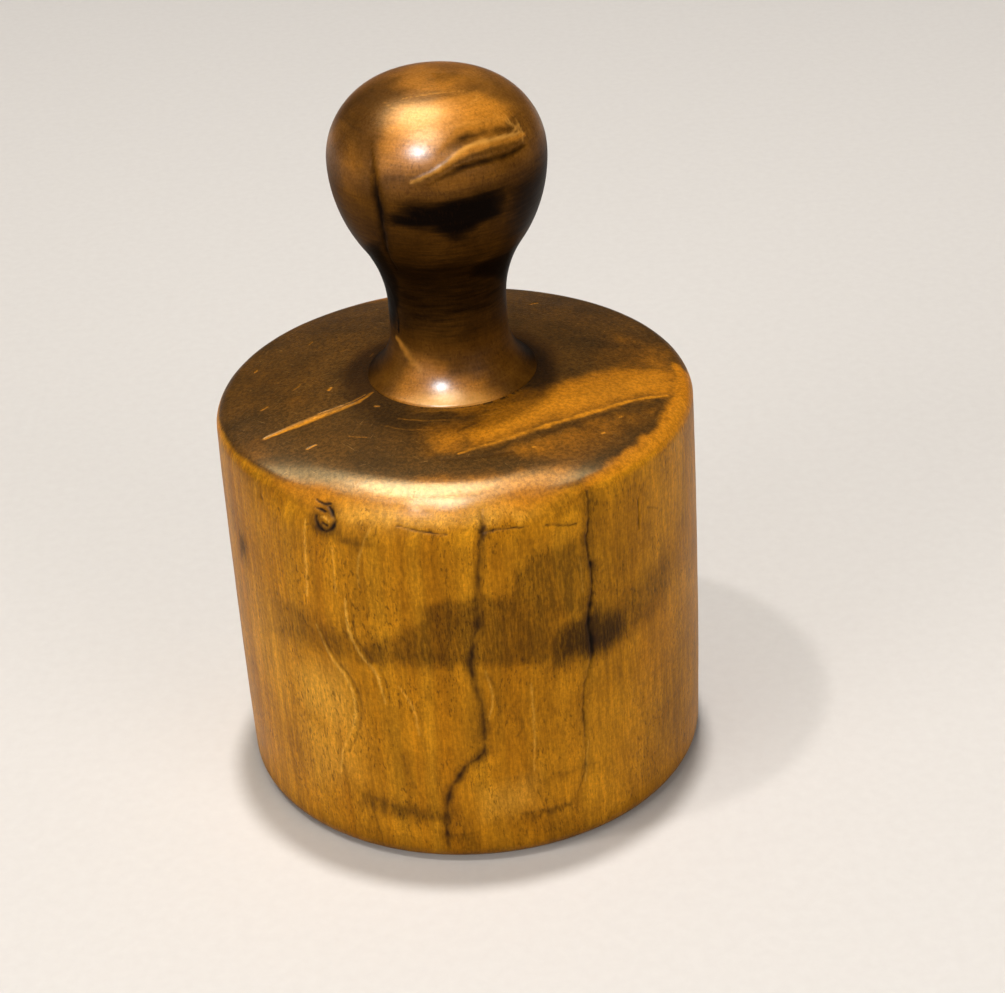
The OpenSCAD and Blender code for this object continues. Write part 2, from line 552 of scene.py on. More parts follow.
def turnedMesh(name, rows, angles):
    # a row on the axis is a single vertex
    vertices, rings, faces = [], [], []
    for radius, height in rows:
        turn = angles if radius > 0.001 else angles[:1]
        rings.append(np.arange(len(turn)) + len(vertices))
        vertices.extend(zip(radius * np.sin(turn), -radius * np.cos(turn), np.full(len(turn), height)))
    for low, high in zip(rings, rings[1:]):
        for i in range(len(angles)):
            j = (i + 1) % len(angles)
            corners = (low[i % len(low)], low[j % len(low)], high[j % len(high)], high[i % len(high)])
            faces.append([int(c) for c in dict.fromkeys(corners)])
    mesh = bpy.data.meshes.new(name)
    mesh.from_pydata((np.array(vertices) * mm).tolist(), [], faces)
    mesh.polygons.foreach_set("use_smooth", np.ones(len(faces), bool))
    return mesh


def vertexPlaces(mesh):
    places = np.empty(len(mesh.vertices) * 3)
    mesh.vertices.foreach_get("co", places)
    return places.reshape(-1, 3) / mm


def vertexNormals(mesh):
    normals = np.empty(len(mesh.vertices) * 3)
    mesh.vertex_normals.foreach_get("vector", normals)
    return normals.reshape(-1, 3)


def roundAxis(places):
    # angle from the front, + to the right, and distance from the axis
    return np.arctan2(places[:, 0], -places[:, 1]), np.hypot(places[:, 0], places[:, 1])


def waver(places, size, amount):
    # smooth noise; size is one length, or one for each axis
    return amount * np.array([noise.noise(place) for place in (places / np.array(size)).tolist()])


def fade(distance, reach):
    # 1 at no distance, 0 at the reach and beyond
    t = np.clip(1 - distance / np.maximum(reach, 1e-6), 0, 1)
    return t * t * (3 - 2 * t)


def climb(values, start, length):
    # 0 up to the start, then rising to 1 over the length
    return np.clip((values - start) / length, 0, 1)


def smoothPath(points, step=0.8):
    # a curve through the points, with width and tone carried along in the last columns
    points = np.asarray(points, float)
    ends = np.vstack((2 * points[0] - points[1], points, 2 * points[-1] - points[-2]))
    made = []
    for a, b, c, d in zip(ends, ends[1:], ends[2:], ends[3:]):
        count = max(2, int(np.linalg.norm((c - b)[:3]) / step))
        t = (np.arange(count) / count)[:, None]
        bend = (2 * a - 5 * b + 4 * c - d) * t ** 2 + (3 * b - a - 3 * c + d) * t ** 3
        made.append(0.5 * (2 * b + (c - a) * t + bend))
    return np.vstack(made + [points[-1:]])


def ringPath(turn, radius, height, width, tone):
    return smoothPath(np.column_stack((radius * np.sin(turn), -radius * np.cos(turn), height, width, tone)))


def withTone(points):
    # a point without a tone has full tone
    return np.array([(*point, 1)[:4] for point in points], float)


def nearPath(places, path, reach=16.0):
    # distance to the path, and its width and tone there
    gap, width, tone = (np.full(len(places), start) for start in (99.0, 0.0, 0.0))
    near = np.all((places > path[:, :3].min(0) - reach) & (places < path[:, :3].max(0) + reach), axis=1)
    near = np.flatnonzero(near)
    for a, b in zip(path, path[1:]):
        run = b[:3] - a[:3]
        away = places[near] - a[:3]
        t = np.clip(away @ run / (run @ run), 0, 1)
        distance = np.linalg.norm(away - t[:, None] * run, axis=1)
        closer = distance < gap[near]
        chosen = near[closer]
        gap[chosen] = distance[closer]
        width[chosen] = (a[3] + (b[3] - a[3]) * t)[closer]
        tone[chosen] = (a[4] + (b[4] - a[4]) * t)[closer]
    return gap, width, tone


def insidePatch(u, v, corners, softU, softV):
    # 1 inside the outline, fading to 0 over an edge that may be softer across than up
    u, v = u / softU, v / softV
    corners = [(a / softU, b / softV) for a, b in corners]
    gap, inside = np.full(len(u), 99.0), np.zeros(len(u), bool)
    for (au, av), (bu, bv) in zip(corners, corners[1:] + corners[:1]):
        du, dv = bu - au, bv - av
        t = np.clip(((u - au) * du + (v - av) * dv) / (du * du + dv * dv), 0, 1)
        gap = np.minimum(gap, np.hypot(u - au - t * du, v - av - t * dv))
        if dv:
            inside ^= ((av > v) != (bv > v)) & (u < au + (v - av) * du / dv)
    return 1 - fade(np.where(inside, gap, -gap) + 1, 2)


def refine(mesh, marks, reach, cuts):
    # finer quads round the marks, so that each mark is cut into the mesh
    shape = bmesh.new()
    shape.from_mesh(mesh)
    shape.faces.ensure_lookup_table()
    centres = np.array([face.calc_center_median() for face in shape.faces]) / mm
    close = np.zeros(len(centres), bool)
    for made in marks:
        gap, width, tone = nearPath(centres, made["path"])
        close |= gap < width / 2 + reach
    edges = {edge for i in np.flatnonzero(close) for edge in shape.faces[i].edges}
    bmesh.ops.subdivide_edges(shape, edges=list(edges), cuts=cuts, use_grid_fill=True)
    shape.to_mesh(mesh)
    shape.free()
    mesh.polygons.foreach_set("use_smooth", np.ones(len(mesh.polygons), bool))


def blankFields(places, *names):
    return {name: np.zeros(len(places)) for name in names}


def paint(fields, name, values):
    fields[name] = np.maximum(fields[name], values)


def mark(surface, depth, points, around=None, **painted):
    # a negative depth is a raised mark; around is the strength and the reach of a dark edge
    return {"path": surface(points), "depth": depth, "painted": painted, "around": around}


def plainMarks(surface, field, rows):
    # each row is a depth, the strength of the field and the points
    return [mark(surface, depth, points, **{field: strength}) for depth, strength, *points in rows]


def markSurface(places, marks, fields):
    # cuts each mark to its depth and paints its fields; returns the height to add along the normal
    places = places + np.column_stack([waver(places + shift, 1.6, 0.25) for shift in (0, 50, 100)])
    height = np.zeros(len(places))
    uneven = 1 + waver(places, 4.0, 0.6) + waver(places, 1.5, 0.4)
    for made in marks:
        gap, width, tone = nearPath(places, made["path"])
        core = fade(gap, width / 2)
        height -= made["depth"] * core * np.minimum(tone, 1)
        for name, strength in made["painted"].items():
            paint(fields, name, np.clip(strength * tone * core * uneven, 0, 1))
        if made["around"]:
            strength, reach = made["around"]
            paint(fields, "halo", strength * tone * uneven * fade(gap, width / 2 + reach))
    return height


def paintPatches(u, v, patches, fields, where=1.0, unit=1.0):
    # each patch is a strength, the softness of its edges across and up, and its corners in units across
    for field, rows in patches.items():
        for strength, softU, softV, *corners in rows:
            corners = [(a * unit, b) for a, b in corners]
            paint(fields, field, strength * where * insidePatch(u, v, corners, softU, softV))


def finishPiece(name, mesh, places, fields, node, material):
    mesh.vertices.foreach_set("co", (places * mm).ravel())
    for field, values in fields.items():
        mesh.attributes.new(field, "FLOAT", "POINT").data.foreach_set("value", np.asarray(values, np.float32))
    mesh.update()
    mesh.set_sharp_from_angle(angle=math.radians(60))
    mesh.materials.clear()
    mesh.materials.append(material)
    piece = bpy.data.objects.new(name, mesh)
    scene.collection.objects.link(piece)
    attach(piece, "root")
    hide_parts(node)
    print(name, "made with", len(mesh.polygons), "faces")


# Block: barrelled side, rounded rim, domed top and the socket under the handle

blockSettings = {
    "bellyHeight": 48.0,
    "barrelRadius": 2500.0,
    "domeRadius": 245.0,
    "rimRound": 4.0,
    "baseRound": 4.0,
    "seatRadius": 19.7,
    "socketRadius": 10.1,
    "undercutTop": 92.0,
    "socketFloor": 65.2,
    "socketFloorRadius": 11.34,
    "wornRim": 13.0,         # rounding that use has given the front of the rim
    "wornFrom": -34.0,       # degrees from the front
    "wornTo": 14.0,
    "wornFade": 30.0,
    "wander": 0.12,          # how far the worn surface strays from a true turning
    "topFrom": 86.0,         # the browned top starts at this height
    "sideTo": 95.6,          # the stained side ends at this one
    "outerFrom": 50.0,       # the side and the rim lie beyond this radius
    "rubbedMiddle": -14.0,   # the front that hands have rubbed, in degrees
    "rubbedHalf": 34.0,
    "rubbedFade": 50.0,
    "edgeWear": 0.6,         # worn band round the rim
    "baseShade": 0.75,       # painted shade: a dark line along the base
    "baseReach": 8.0,
    "footShade": 0.75,       # painted shadow of the knob: a dark ring on each side of the handle's foot
    "footRing": 22.5,        # its radius
    "footReach": 5.0,
    "wax": 0.9,              # on the rubbed front of the dome
    "waxElsewhere": 0.06,
    "frontStep": 0.8,        # spacing of the mesh
    "backStep": 1.5,
}

blockHigh = np.array(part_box("block")[1]) / mm
blockRadius, seatHeight = blockHigh[0], blockHigh[2]
domeDrop = math.sqrt(blockSettings["domeRadius"] ** 2 - blockSettings["seatRadius"] ** 2)
domeCentre = (0.0, seatHeight - domeDrop)
wallCentre = (blockRadius - blockSettings["barrelRadius"], blockSettings["bellyHeight"])


def rimCentre(rounding):
    s = blockSettings
    return crossing(wallCentre, s["barrelRadius"] - rounding, domeCentre, s["domeRadius"] - rounding)


def blockRows():
    s = blockSettings
    wall = wallCentre
    inner = s["barrelRadius"] - s["baseRound"]
    base = (wall[0] + math.sqrt(inner ** 2 - (s["bellyHeight"] - s["baseRound"]) ** 2), s["baseRound"])
    rim = rimCentre(s["rimRound"])
    foot, shoulder, crest = bearing(wall, base), bearing(wall, rim), bearing(domeCentre, rim)
    seat = math.acos(s["seatRadius"] / s["domeRadius"])
    mouth = (s["socketRadius"], seatHeight)
    neck = (s["socketRadius"], s["undercutTop"])
    floor = (s["socketFloorRadius"], s["socketFloor"])
    return np.vstack((
        straight((0, 0), (base[0], 0), 5.0),
        arc(base, s["baseRound"], -math.pi / 2, foot, 0.7),
        arc(wall, s["barrelRadius"], foot, shoulder, 1.0),
        arc(rim, s["rimRound"], shoulder, crest, 0.5),
        arc(domeCentre, s["domeRadius"], crest, seat, 0.8),
        straight((s["seatRadius"], seatHeight), mouth, 3.0),
        straight(mouth, neck, 4.0),
        straight(neck, floor, 6.0),
        straight(floor, (0, s["socketFloor"]), 4.0),
        [(0, s["socketFloor"])],
    ))


blockProfile = blockRows()
outside = blockProfile[:, 0] >= blockSettings["seatRadius"]


def onSide(points):
    # each point is mm across from the front, height, width and tone
    across, height, width, tone = withTone(points).T
    radius = np.interp(height, blockProfile[outside, 1], blockProfile[outside, 0])
    return ringPath(across / blockRadius, radius, height, width, tone)


def onTop(points):
    # each point is x, y, width and tone
    x, y, width, tone = withTone(points).T
    height = domeCentre[1] + np.sqrt(blockSettings["domeRadius"] ** 2 - x ** 2 - y ** 2)
    return smoothPath(np.column_stack((x, y, height, width, tone)))


blockMarks = [
    # drying crack from the rim nearly to the base
    mark(onSide, 0.35, [
        (28.4, 94, 0.8, 0.1), (29, 91.6, 1.2, 0.8), (28.4, 86, 0.8, 0.6), (27.6, 80, 1, 0.9),
        (28.4, 74, 1, 1), (28.5, 69, 0.8, 0.8), (28, 65, 1.5, 1), (27.2, 60, 2, 1.2), (27.6, 55, 1.8, 1.2),
        (27.7, 51, 1.4, 0.8), (26.4, 47, 1.3, 0.5), (25.1, 42, 1.2, 0.5), (24.7, 37, 1.2, 0.7),
        (25, 30, 1.1, 0.5), (24.9, 24, 1, 0.4), (24.3, 20, 0.8, 0.4), (22.4, 14, 0.5, 0.3),
        (21.4, 10, 0.5, 0.2)
    ], crack=0.95, around=(0.85, 2.3)),
    # shallower crack that bends to the left lower down
    mark(onSide, 0.18, [
        (4, 94, 0.8, 0.3), (4.2, 91, 1.2, 0.8), (4, 88, 1.8, 1.4), (3, 84, 1.3, 0.8), (2.3, 78, 1.4, 0.8),
        (2, 73, 1.5, 0.8), (1.5, 66, 1.4, 0.9), (0.2, 60, 1.2, 1), (-0.6, 55, 1.1, 1), (0, 49, 1, 0.8),
        (1, 44, 1, 0.6), (1.3, 38, 0.9, 0.9), (1.2, 33, 1.1, 0.9), (0, 30, 1.1, 1), (-3.5, 27.5, 1.2, 0.9),
        (-5.5, 24, 1.3, 1.1), (-7.5, 20.5, 1.2, 0.9), (-8.8, 15, 1.2, 1), (-9, 10, 1.1, 1),
        (-8.7, 4, 0.9, 0.8)
    ], crack=0.5, around=(0.85, 1.6)),
    # checks on the far side
    mark(onSide, 0.25, [
        (140, 94, 0.8, 0.3), (141, 88, 1, 0.8), (139.5, 80, 1.1), (140.4, 70, 0.9, 0.8),
        (139.6, 60, 0.8, 0.6), (140.2, 52, 0.6, 0.3)
    ], crack=0.9, around=(0.7, 1.6)),
    mark(onSide, 0.2, [
        (-128, 4, 0.9, 0.9), (-128.6, 12, 1), (-127.6, 22, 0.8, 0.7), (-128.2, 31, 0.6, 0.3)
    ], crack=0.8, around=(0.7, 1.4)),
    mark(onSide, 0.15, [
        (-152, 93, 0.8, 0.4), (-151.4, 86, 1), (-152.4, 77, 0.8, 0.6)
    ], crack=0.7, around=(0.6, 1.2)),
    # pin knot under the rim: dark strokes round a paler heart
    mark(onSide, 0.15, [(-35.4, 93.6, 1), (-33.4, 93.1, 1.6), (-31.6, 93.5, 1.4)], crack=1),
    mark(onSide, 0.15, [(-35, 91.6, 0.9), (-33.6, 91.5, 1.7), (-32.4, 91.2, 1.2)], crack=1),
    mark(onSide, 0.2, [
        (-31.6, 92.6, 1.3), (-30.4, 91.2, 1.6), (-29.6, 89.4, 1.5), (-30.2, 87.4, 1.5), (-31.8, 86.4, 1.2)
    ], crack=0.95, around=(0.8, 2.6)),
    mark(onSide, 0.2, [
        (-34.6, 89.4, 1.3), (-34, 87.4, 1.7), (-32.4, 86.5, 1.3)
    ], crack=0.95, around=(0.8, 2.6)),
    mark(onSide, -0.1, [(-33.4, 89.6, 0.7), (-32.4, 89.7, 1), (-31.2, 88.8, 0.7)], pale=1),
    mark(onSide, 0.15, [(-32.8, 88.3, 1.1), (-31.6, 87.9, 1.1)], crack=1),
    mark(onSide, 0.04, [(-34.4, 85.6, 2.4), (-28, 84.8, 3), (-21, 85, 2)], halo=0.45),
    # gouge through the dark top into bare wood
    mark(onTop, 0.25, [
        (-43, -20.5, 1.4, 0.8), (-38, -18.7, 2.4), (-33, -16.9, 3), (-27, -14.7, 2.6), (-22, -12.6, 1.8),
        (-18.5, -9.2, 1, 0.7)
    ], bare=0.95, around=(0.5, 1.1)),
    # long worn line
    mark(onTop, -0.1, [
        (0, -37, 1.2, 0.5), (10, -33, 2, 0.8), (20, -28, 2.4), (30, -22.5, 2.2), (40, -16.5, 1.8),
        (48, -13, 1)
    ], bare=0.55, wear=0.95),
]
# short checks
blockMarks += plainMarks(onSide, "crack", [
    (0.12, 0.95, (-15, 90.5, 0.6), (-10, 89.4, 0.8), (-4, 88.4, 0.9)),
    (0.15, 0.8, (3.5, 88.4, 1.4), (8, 88.5, 0.9), (14, 88.1, 0.7)),
    (0.06, 0.6, (32.5, 83.6, 0.6), (33.5, 81.4, 0.7)),
    (0.2, 0.7, (43, 85, 0.6), (42.8, 81, 0.9), (42.7, 77, 0.6)),
])
# smudges, and the darker sides of the raised lines
blockMarks += plainMarks(onSide, "halo", [
    (0.06, 0.8, (18, 87.4, 0.8), (25, 85.5, 0.9)),
    (0.05, 0.6, (46, 81.2, 0.8), (50, 79, 0.7)),
    (0.1, 0.7, (-52, 89, 1.2), (-51.2, 88, 1.4)),
    (0.05, 0.5, (-28, 20, 1), (-26.5, 12, 1.2), (-25, 4, 1)),
    (0.02, 0.35, (9, 12.4, 1.8), (16, 12, 2.2), (22, 11.4, 1.4)),
    (0.01, 0.2, (13, 20.6, 1.4), (20, 20.9, 1.8), (28, 20.8, 1.2)),
    (0.02, 0.35, (-8, 7.8, 1.6), (-3, 8.2, 1.4)),
    (0.02, 0.3, (-27, 16.4, 2), (-18, 14.2, 3), (-9, 12, 2.4)),
    (0.03, 0.35, (-18, 30, 1.4), (-16, 22, 1.8), (-13, 16, 1.4)),
    (0.03, 0.4, (3, 52, 1.2), (5, 45, 1.8), (4.4, 36, 1.2)),
    (0.03, 0.35, (8, 41, 1.6), (10, 37.5, 1.8), (8.6, 34.4, 1.2)),
    (0.03, 0.3, (-38.6, 88, 1), (-39.2, 78, 1.4), (-40, 68, 1)),
    (0.05, 0.5, (-36, 60, 1), (-32.6, 53.4, 1.3), (-29, 49, 1.5), (-27, 43, 1.5), (-28, 35.6, 1.3),
     (-31.5, 28, 1)),
    (0.05, 0.5, (-27, 70, 1), (-26.8, 62, 1.2), (-24.6, 57, 1.4), (-21, 52, 1.2), (-19.4, 44, 1)),
])
# raised lines of the grain's figure
blockMarks += plainMarks(onSide, "pale", [
    (-0.05, 0.6, (104, 62, 0.8), (106, 52, 1.2), (103.6, 41, 0.8)),
    (-0.05, 0.6, (-98, 70, 0.8), (-96, 58, 1.3), (-99, 44, 0.8)),
    (-0.05, 0.6, (-37.4, 88, 1), (-38, 78, 1.4), (-38.8, 68, 1)),
    (-0.08, 0.95, (-37, 61, 1), (-34, 53.6, 1.4), (-30.4, 49, 1.6), (-28.5, 43, 1.6), (-29.5, 36, 1.5),
     (-33, 28, 1.2), (-34.5, 21, 1)),
    (-0.08, 0.9, (-28.4, 70, 1), (-28.2, 62, 1.5), (-26, 56.5, 1.5), (-22.4, 51.5, 1.4), (-20.8, 44, 1)),
    (-0.04, 0.5, (-30.4, 83, 0.8), (-30.6, 71, 1.1)),
    (-0.04, 0.5, (-20.6, 90, 0.8), (-24, 81, 1.2), (-24.6, 74, 0.8)),
    (-0.04, 0.5, (-17.4, 49, 0.9), (-14.6, 44, 1.3), (-13.4, 36, 1)),
    (-0.04, 0.5, (2.4, 53, 0.8), (3.6, 46, 1.1), (2.4, 40, 0.8)),
    (-0.04, 0.4, (25.6, 77, 0.8), (26, 68, 1)),
    (-0.04, 0.5, (25.6, 28, 0.8), (24.4, 17, 1)),
    (-0.04, 0.45, (12.4, 48, 0.8), (12.6, 36, 1.2), (12, 24, 0.9)),
])
# nicks and scratches
blockMarks += plainMarks(onTop, "bare", [
    (0.2, 0.6, (-31, -14.8, 0.5), (-24, -12.3, 0.7), (-20, -9.6, 0.5)),
    (0.2, 1, (-33.4, -28.2, 0.7), (-31.4, -27.2, 0.8)),
    (0.2, 1, (-28.5, -4.8, 1), (-28, -4, 1.1)),
    (0.2, 1, (-18, -15.4, 0.8), (-17, -15.6, 0.7)),
    (0.15, 0.9, (16.2, -36, 0.8), (16.8, -35.8, 0.8)),
    (0.15, 0.9, (31.8, -30.4, 0.8), (32.4, -30.2, 0.8)),
    (0.1, 0.8, (11, -33, 0.6), (12.6, -32.6, 0.7)),
    (0.12, 0.7, (-46.4, 12.6, 0.7), (-45.8, 13.4, 0.7)),
    (0.1, 0.6, (-33.6, 22.4, 0.5), (-33, 23.6, 0.5)),
    (0.12, 0.4, (-19, 8.6, 0.5), (-18.2, 10.4, 0.5)),
    (0.05, 0.5, (-8, -19.9, 0.5), (-2, -20.4, 0.6), (5, -20, 0.5)),
    (0.05, 0.4, (2, -21.2, 0.4), (9, -20.6, 0.5), (14, -18.6, 0.4)),
    (0.05, 0.5, (-13, -21.6, 0.4), (-7, -23.6, 0.7), (0, -24.2, 0.4)),
    (0.05, 0.35, (-17, -23, 0.4), (-11, -26.4, 0.6), (-4, -27.6, 0.4)),
    (0.06, 0.7, (5, -23.2, 0.5), (8, -22.8, 0.8), (12, -21.2, 0.5)),
    (0.06, 0.4, (-37, -2, 0.4), (-35.6, -0.6, 0.6), (-35, 1, 0.4)),
    (0.08, 0.6, (-44, -8, 0.5), (-42.6, -7, 0.6)),
    (0.06, 0.4, (-26, 14, 0.4), (-24.4, 15.4, 0.5)),
    (0.06, 0.4, (-24, -26, 0.4), (-20, -27.4, 0.5)),
    (0.08, 0.7, (36, -24, 0.5), (37, -23.4, 0.6)),
    (0.1, 0.6, (20, 36, 0.5), (21.8, 37.2, 0.7)),
    (0.06, 0.4, (-9, 39.6, 0.4), (-4, 41.4, 0.6), (2, 41.8, 0.4)),
])
# dark streaks by the worn line
blockMarks += plainMarks(onTop, "halo", [
    (0.02, 0.45, (2, -38.4, 1.6), (12, -34.6, 2.2), (22, -29.6, 2.2), (34, -22.4, 1.4)),
    (0.06, 0.4, (-8, -30, 1.6), (-6, -35, 2.2), (-4, -39, 1.4)),
    (0.06, 0.45, (-4, -38.4, 1.6), (4, -38.6, 2), (12, -37.4, 1.2)),
    (0.05, 0.55, (0, -29, 1), (3, -26.8, 1.6), (7, -24, 1.2)),
])

# corners are mm across from the front and mm up
sidePatches = {"stain": [
    (0.56, 4, 1.4, (-27, 53.6), (-10, 54.7), (4, 54), (4, 72.8), (-12, 70.6), (-12.5, 66.5), (-19, 63),
     (-27, 58)),
    (0.62, 6, 2.4, (-22, 54), (2, 54), (2, 61), (-20, 60)),
    (0.62, 4, 2.4, (-12, 62), (2, 60), (3, 71), (-10, 70.4)),
    (0.57, 4, 1.6, (0, 54), (20, 52), (20, 71), (2, 72.6)),
    (0.44, 9, 2.4, (-52, 53), (-24, 53.4), (-22, 61), (-50, 64)),
    (0.9, 6, 4.6, (17, 51), (28, 50), (38, 52), (38, 60), (28, 63), (17, 61)),
    (0.53, 4, 2, (5, 71), (10, 77.6), (14, 81), (27.5, 82), (29, 62), (14, 62)),
    (0.3, 5, 3.5, (28, 81), (38, 80), (41, 72), (38, 62), (28, 62)),
    (0.5, 9, 4, (32, 52), (46, 52), (58, 57), (58, 67), (44, 66), (32, 63)),
    (0.3, 8, 6, (48, 62), (66, 66), (66, 84), (54, 80)),
    (0.55, 4, 2.5, (-32, 12.5), (-16, 10.5), (-5, 11), (-6, 15), (-16, 17), (-31, 18)),
    (0.3, 4, 2.5, (-34, 4), (-26, 3), (-24, 18), (-32, 20)),
    (0.55, 3, 1.5, (8, 10.6), (22, 10.6), (22, 12.8), (9, 13)),
    (0.35, 4, 3, (11, 4), (24, 4), (23, 10), (12, 10)),
    (0.45, 3, 2, (-8, 5), (-2, 5), (-2, 9), (-8, 9)),
    (0.28, 6, 6, (-24, 19), (-10, 18), (-10, 29), (-20, 37)),
    (0.3, 5, 2.5, (10, 19), (30, 18), (30, 23), (12, 23)),
    (0.32, 12, 10, (40, 6), (76, 6), (80, 32), (58, 46), (44, 32)),
    (0.22, 9, 8, (-46, 6), (-34, 6), (-36, 26), (-46, 24)),
    (0.25, 6, 6, (-8, 30), (12, 30), (14, 44), (0, 48)),
    (0.35, 4, 2.5, (-36, 84.5), (-18, 84), (-19, 88), (-35, 88.6)),
    (0.75, 3, 3.6, (-66.5, 66.5), (-61.5, 67), (-61.5, 73), (-65.5, 73.5)),
    (0.4, 6, 2, (-76, 89.5), (-37, 91), (-37, 96), (-76, 96)),
    (0.28, 8, 5, (-30, 62), (-12, 66), (-8, 84), (-24, 84)),
    (0.4, 5, 2, (16, 89), (31, 89), (31, 95), (18, 95)),
    (0.45, 4, 0.9, (-74, 94.4), (-44, 93.2), (-34, 93), (-34, 95), (-46, 95.6), (-74, 96)),
    (0.35, 5, 3, (-34, 12), (-26, 10), (-26, 18), (-34, 20)),
    (0.2, 4, 3, (-12, 6), (-3, 6), (-3, 15), (-12, 15)),
    (0.5, 9, 4, (98, 50), (150, 47), (162, 57), (122, 67), (98, 62)),
    (0.4, 8, 5, (-152, 30), (-112, 28), (-106, 47), (-142, 52)),
    (0.45, 8, 3, (110, 7), (152, 5), (152, 13), (112, 16)),
], "pale": [
    (0.7, 5, 6, (-46, 46), (-40, 49.5), (-32, 49.5), (-29, 43), (-30, 36), (-34, 31), (-44, 38)),
    # painted light: a bright band under the front of the rim, below the highlight
    (0.7, 6, 2, (-27, 91), (14, 91), (12, 97), (-27, 97)),
    (0.45, 7, 6, (-44, 14), (-30, 22), (-30, 34), (-46, 34)),
    (0.4, 5, 4, (0, 13), (12, 15), (12, 22), (0, 20)),
    (0.45, 8, 8, (-122, 60), (-94, 58), (-94, 82), (-118, 84)),
    (0.4, 9, 8, (95, 18), (126, 20), (126, 42), (98, 40)),
    (0.25, 8, 8, (-66, 40), (-46, 30), (-44, 60), (-62, 64)),
]}
# corners are x and y
topPatches = {"wear": [
    # partly wear behind the long line, partly painted light where a lamp lit the dome outside the knob's
    # shadow
    (0.82, 4, 4, (2, -36), (20, -27.5), (40, -16), (50, -12), (52, 0), (38, -2), (22, -12), (8, -20),
     (2, -28)),
    (1, 1.4, 1.4, (24, -49), (34, -39.5), (44.6, -26), (50, -12), (51, 4), (62, -6), (52, -36), (30, -54)),
    # partly wear, partly painted light on the lit right side of the dome
    (0.36, 7, 7, (36, -12), (54, -10), (53, 12), (40, 16), (34, 4)),
    (0.4, 3.5, 3.5, (8, -38), (26, -42), (44, -25), (46, -18), (30, -25), (12, -35)),
    (0.5, 6, 4, (-7, -26), (6, -23), (14, -26), (2, -36), (-6, -36)),
    (0.6, 6, 3, (-42, -34), (-30, -40), (-12, -44.6), (12, -44.6), (24, -41), (24, -54), (0, -58),
     (-46, -42)),
    (0.35, 4, 4, (-38, -9), (-34, -9), (-34, -5), (-38, -5)),
    (0.3, 6, 6, (-54, -18), (-44, -20), (-40, -34), (-50, -34)),
    (0.5, 5, 2.5, (-24, 47), (12, 50), (12, 57), (-26, 54)),
    (0.15, 8, 8, (-52, -8), (-30, -10), (-32, 16), (-48, 16)),
    # painted highlight: the flare's golden band carried onto the dome in front of the foot
    (0.6, 3, 2, (-3, -13), (18, -13), (14, -20), (6, -23), (0, -23)),
], "bare": [
    (0.5, 1.2, 1.2, (29, -46), (36, -39.5), (45.6, -27), (51, -14), (56, -14), (50, -32), (34, -48)),
    (0.3, 4, 4, (8, -32), (22, -24.5), (42, -13.5), (49, -9), (46, -4), (34, -9), (18, -19), (8, -25)),
    # fine scratches along the front of the foot, and painted light over the shade at the joint
    (0.4, 4, 0.7, (-9, -17), (8, -17), (6, -20.2), (0, -20.8), (-7, -20.2)),
], "halo": [
    (0.45, 2.5, 2.5, (26.5, -31), (30, -31.5), (31, -28.5), (27, -28)),
    (0.25, 6, 6, (-28, -22), (-8, -21), (-8, -36), (-22, -37)),
]}


def wearRim(places):
    # rubs the front of the rim down to its larger rounding
    s = blockSettings
    centre = rimCentre(s["wornRim"])
    angle, radius = roundAxis(places)
    x, z = radius - centre[0], places[:, 2] - centre[1]
    reach, turn = np.hypot(x, z), np.arctan2(z, x)
    middle, half = (s["wornFrom"] + s["wornTo"]) / 2, (s["wornTo"] - s["wornFrom"]) / 2
    start, end = bearing(wallCentre, centre), bearing(domeCentre, centre)
    rubbed = (turn > start) & (turn < end) & (reach > s["wornRim"])
    share = np.where(rubbed, 1 - s["wornRim"] / np.maximum(reach, 1), 0)
    share *= fade(np.abs(np.degrees(angle) - middle) - half, s["wornFade"])
    level = places[:, :2] * (1 - share * x / np.maximum(radius, 1))[:, None]
    return np.column_stack((level, places[:, 2] - share * z))


